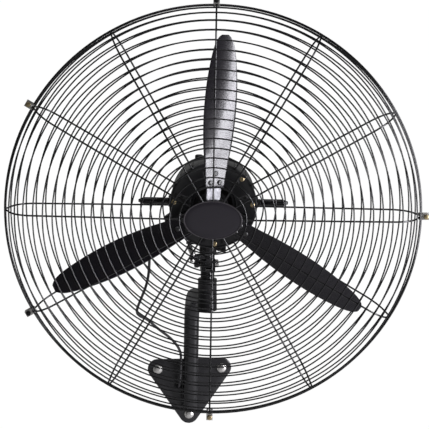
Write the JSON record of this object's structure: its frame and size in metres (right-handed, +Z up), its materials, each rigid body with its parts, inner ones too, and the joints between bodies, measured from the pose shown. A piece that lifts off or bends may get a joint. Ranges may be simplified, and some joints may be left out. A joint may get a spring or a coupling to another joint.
{
  "type": "wall mounted fan",
  "caption": "Industrial wall fan: a round wire cage with a bladed rotor on a motor head that swings and tilts on a swan-neck wall bracket.",
  "frame": {"origin": "middle of the wall plate's back face, halfway in height between its upper and lower bolt holes", "axes": "+Z up, +Y into the wall, so the fan blows towards -Y; +X to the right of someone who faces the fan"},
  "size_m": [0.7262, 0.5349, 0.875],
  "materials": {
    "black_wire": "gloss powder coat on steel wire",
    "black_sheet": "satin powder coat on sheet steel",
    "blade_paint": "satin black with a fine orange peel",
    "motor_paint": "gloss black on cast aluminium",
    "bracket_paint": "gloss powder coat on steel tube",
    "badge_paint": "satin dark grey plate",
    "zinc": "bright zinc plate",
    "yellow_zinc": "yellow passivated zinc",
    "black_oxide": "black oxide",
    "ground_steel": "ground shaft steel",
    "laminated_steel": "stacked laminations",
    "copper": "varnished copper windings",
    "bronze": "sintered bronze",
    "black_plastic": "moulded black plastic",
    "black_rubber": "smooth cable sheath"
  },
  "bodies": {
    "bracket": {"wall_bracket": "bracket_paint", "anchor_bolts": "zinc", "anchor_sleeves": "zinc", "anchor_washers": "zinc", "socket_screw": "black_oxide", "cable_grommet": "black_rubber", "post": "bracket_paint", "tilt_bolt": "zinc", "tilt_washers": "zinc", "cable_lower": "black_rubber"},
    "tilt_knob": {"tilt_knob": "black_plastic"},
    "neck": {"neck_block": "bracket_paint", "pivot_pin": "ground_steel", "thrust_washer": "bronze", "link_pin": "zinc"},
    "link": {"link_strap": "zinc"},
    "head": {"rear_shield": "motor_paint", "pivot_bush": "bronze", "gearbox_housing": "motor_paint", "gearbox_cover": "motor_paint", "cover_screws": "zinc", "motor_shell": "motor_paint", "front_shield": "motor_paint", "tie_bolts": "zinc", "stator_core": "laminated_steel", "stator_windings": "copper", "front_bearing": "ground_steel", "rear_bearing": "ground_steel", "horn_handles": "black_plastic", "terminal_box": "motor_paint", "cable_gland": "black_plastic", "rear_guard": "black_wire", "guard_plate": "black_sheet", "plate_screws": "yellow_zinc", "front_guard": "black_wire", "rim_clips": "zinc", "clip_bolts": "black_oxide", "clip_nuts": "yellow_zinc", "badge_plate": "badge_paint", "badge_clamp": "black_sheet", "badge_screws": "zinc", "cable_upper": "black_rubber"},
    "swing_lock": {"swing_lock_screw": "black_plastic"},
    "rotor": {"motor_shaft": "ground_steel", "rotor_core": "laminated_steel", "worm": "ground_steel", "fan_hub": "motor_paint", "hub_nut": "zinc", "blade_1": "blade_paint", "blade_2": "blade_paint", "blade_3": "blade_paint", "blade_screws": "zinc"},
    "crank": {"drive_wheel": "bronze", "crank": "ground_steel"},
    "clutch": {"clutch_knob": "black_plastic"}
  },
  "joints": [
    {"name": "tilt", "type": "hinge", "parent": "bracket", "child": "neck", "pos_m": [0, -0.235, 0.31], "axis": [1, 0, 0], "range_deg": [-20, 25], "deforming": ["cable_lower"]},
    {"name": "tilt_knob_turn", "type": "hinge", "parent": "bracket", "child": "tilt_knob", "pos_m": [0, -0.235, 0.31], "axis": [1, 0, 0], "range_deg": [0, 180]},
    {"name": "swing", "type": "hinge", "parent": "neck", "child": "head", "pos_m": [0, -0.235, 0.348], "axis": [0, 0, 1], "range_deg": [-32, 48], "deforming": ["cable_upper"]},
    {"name": "link_swing", "type": "hinge", "parent": "neck", "child": "link", "pos_m": [-0.02912, -0.24564, 0.328], "axis": [0, 0, 1], "range_deg": [-25.97, 38.71]},
    {"name": "swing_lock_turn", "type": "hinge", "parent": "head", "child": "swing_lock", "pos_m": [0.0198, -0.23778, 0.3377], "axis": [0.9903, -0.1392, 0], "range_deg": [0, 180]},
    {"name": "rotor_spin", "type": "hinge", "parent": "head", "child": "rotor", "pos_m": [-0.01295, -0.38465, 0.438], "axis": [-0.1392, -0.9903, 0], "continuous": true},
    {"name": "crank_turn", "type": "hinge", "parent": "head", "child": "crank", "pos_m": [-0.01158, -0.18086, 0.438], "axis": [0, 0, 1], "continuous": true},
    {"name": "clutch_pull", "type": "slide", "parent": "head", "child": "clutch", "axis": [0, 0, 1], "range_m": [0, 0.008]}
  ],
  "couplings": [
    {"joint": "link_swing", "follows": "swing", "ratio": 0.796},
    {"joint": "crank_turn", "follows": "rotor_spin", "ratio": 0.033333}
  ]
}
